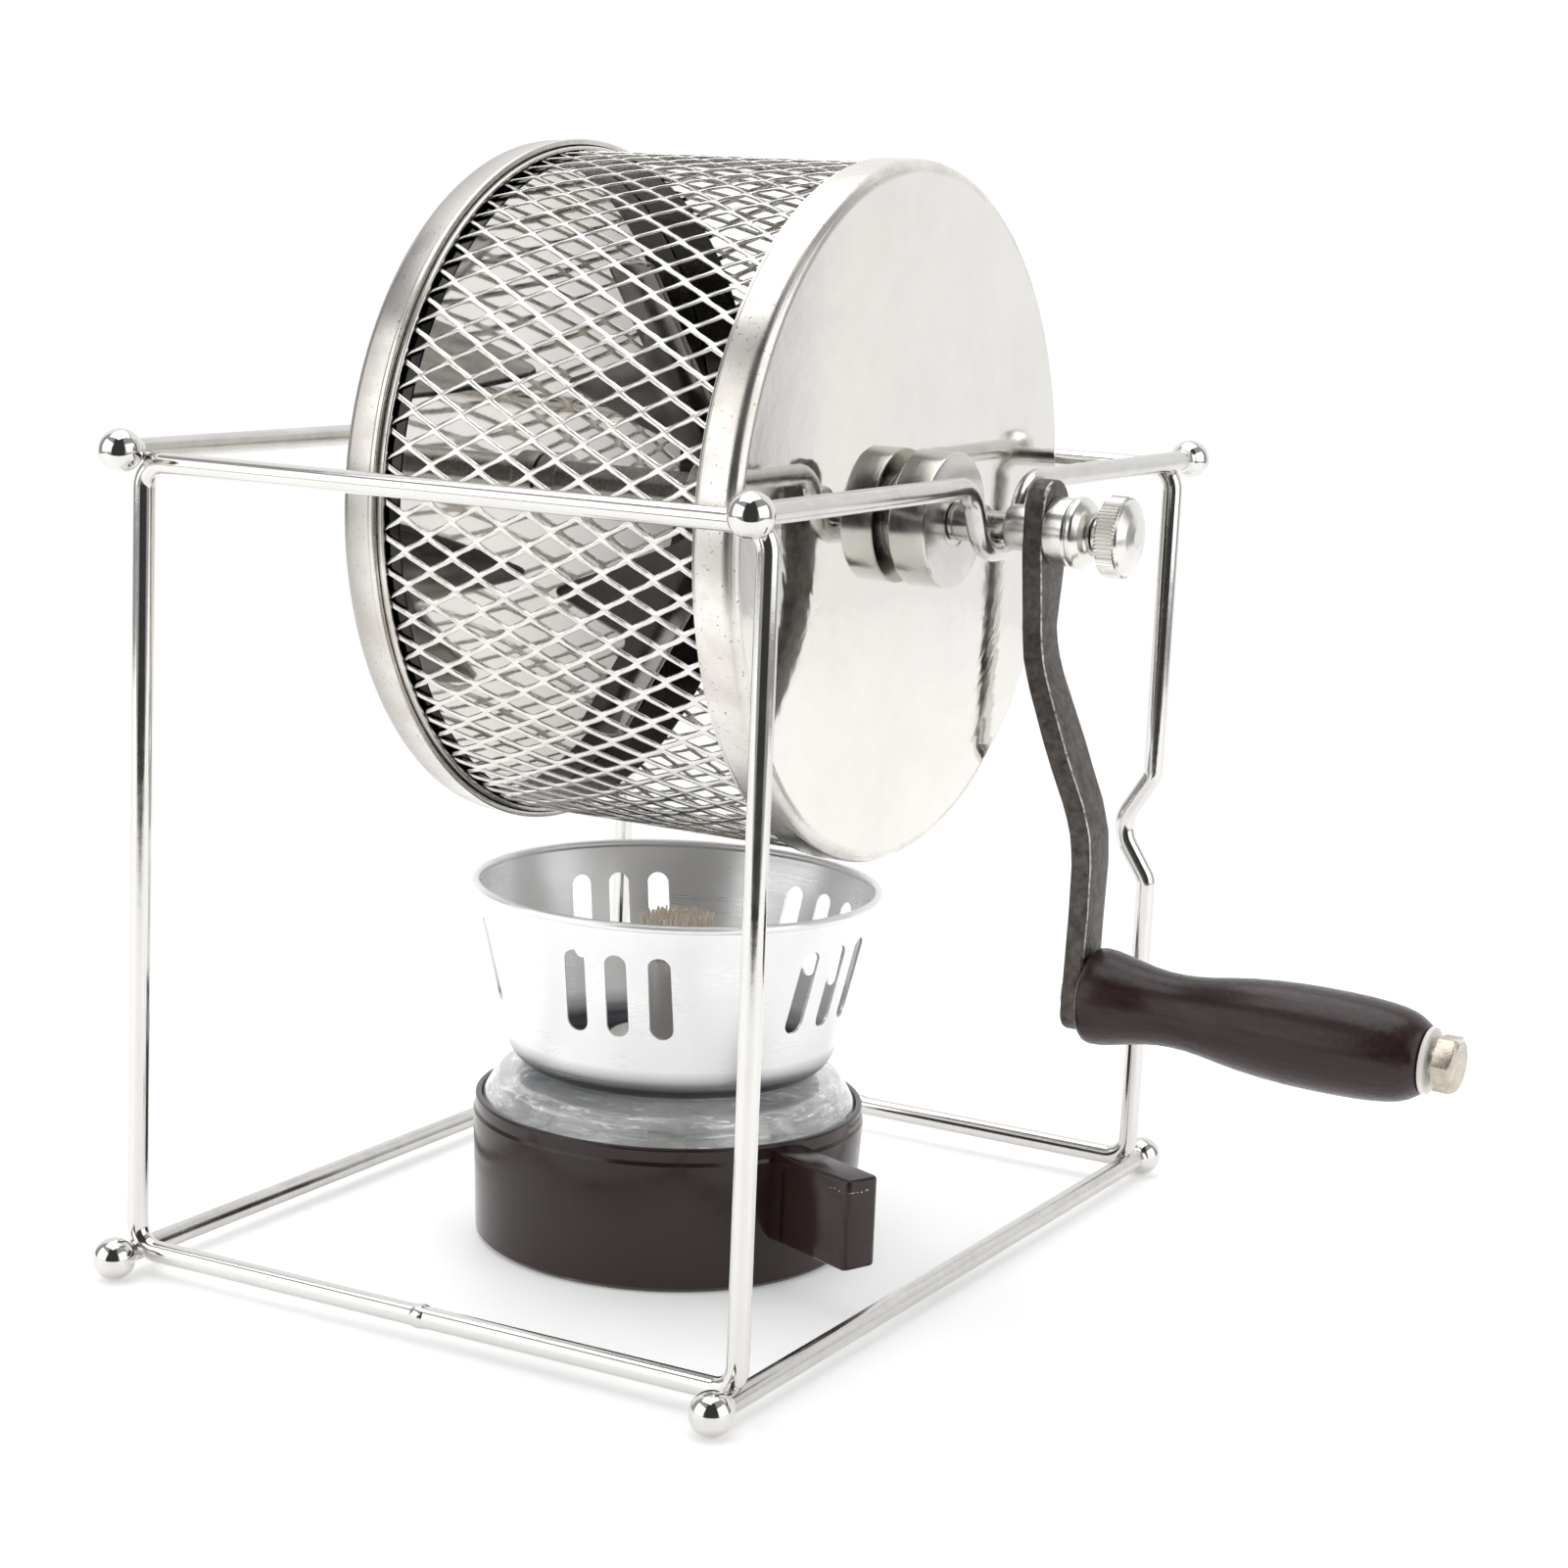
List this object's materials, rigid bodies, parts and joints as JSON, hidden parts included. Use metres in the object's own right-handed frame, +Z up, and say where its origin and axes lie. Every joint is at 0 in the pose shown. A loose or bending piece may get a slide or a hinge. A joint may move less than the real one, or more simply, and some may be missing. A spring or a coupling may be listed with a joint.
{
  "type": "stovetop coffee bean roaster",
  "caption": "Hand-cranked mesh drum roaster for coffee beans, on a wire stand with open saddles, over an alcohol burner with a slotted windshield.",
  "frame": {"origin": "centre of the burner base's flat foot, on the table that the stand's lower balls rest on", "axes": "+X runs along the drum's shaft from the lid to the crank, +Y runs to the rear loop, away from the front of the stand, +Z is up"},
  "size_m": [0.2466, 0.202, 0.227],
  "materials": {
    "stand_chrome": "bright chrome-plated wire and balls",
    "cap_steel": "mirror-polished flat with a grained rim",
    "mesh_steel": "bright expanded mesh",
    "turned_steel": "fine turning marks, machined edges",
    "nickel": "satin nickel plating",
    "stirrer_steel": "satin stainless steel",
    "crank_iron": "as cast, dark, with a worn parting line",
    "bolt_zinc": "zinc plating, slightly warm",
    "washer_nylon": "plain white",
    "grip_wood": "dark brown lacquer",
    "base_resin": "glossy moulded resin with a flash line",
    "font_glass": "clear, slightly wavy pressed glass",
    "holder_metal": "satin",
    "wick_cotton": "frayed cotton",
    "shield_aluminium": "satin, spun"
  },
  "bodies": {
    "stand": {"front_loop": "stand_chrome", "rear_loop": "stand_chrome", "right_saddle_rod": "stand_chrome", "left_saddle_rod": "stand_chrome", "right_foot_rod": "stand_chrome", "left_foot_rod": "stand_chrome", "upper_balls": "stand_chrome", "foot_balls": "stand_chrome"},
    "drum": {"near_cap": "cap_steel", "mesh_tube": "mesh_steel", "mesh_ring": "cap_steel", "shaft": "turned_steel", "hub_spacer": "turned_steel", "hub_disc": "turned_steel", "spindle": "turned_steel", "stop_collar": "turned_steel", "grub_screw": "turned_steel", "stirrer_hub": "stirrer_steel", "stirring_vanes": "stirrer_steel", "clamp_nut": "nickel", "crank_arm": "crank_iron", "grip_washer": "washer_nylon", "grip_bolt": "bolt_zinc"},
    "grip": {"grip": "grip_wood"},
    "thumb_screw": {"thumb_screw": "nickel"},
    "lid": {"far_lid": "cap_steel", "lid_bush": "turned_steel"},
    "burner": {"burner_base": "base_resin", "glass_font": "font_glass", "wick_holder": "holder_metal", "wick": "wick_cotton"},
    "windshield": {"windshield": "shield_aluminium"}
  },
  "joints": [
    {"name": "drum_spin", "type": "hinge", "parent": "stand", "child": "drum", "pos_m": [-0.0027, 0.005, 0.15615], "axis": [1, 0, 0], "continuous": true},
    {"name": "grip_spin", "type": "hinge", "parent": "drum", "child": "grip", "pos_m": [0.09, 0.005, 0.06615], "axis": [0.9998, 0, -0.0192], "continuous": true},
    {"name": "thumb_screw_turn", "type": "hinge", "parent": "drum", "child": "thumb_screw", "pos_m": [0.0873, 0.005, 0.15615], "axis": [1, 0, 0], "continuous": true},
    {"name": "lid_slide", "type": "slide", "parent": "drum", "child": "lid", "axis": [-1, 0, 0], "range_m": [0, 0.024]},
    {"name": "burner_slide", "type": "slide", "parent": "stand", "child": "burner", "axis": [0, 1, 0], "range_m": [-0.038, 0.045]},
    {"name": "windshield_lift", "type": "slide", "parent": "burner", "child": "windshield", "axis": [0, 0, 1], "range_m": [0, 0.008]}
  ]
}
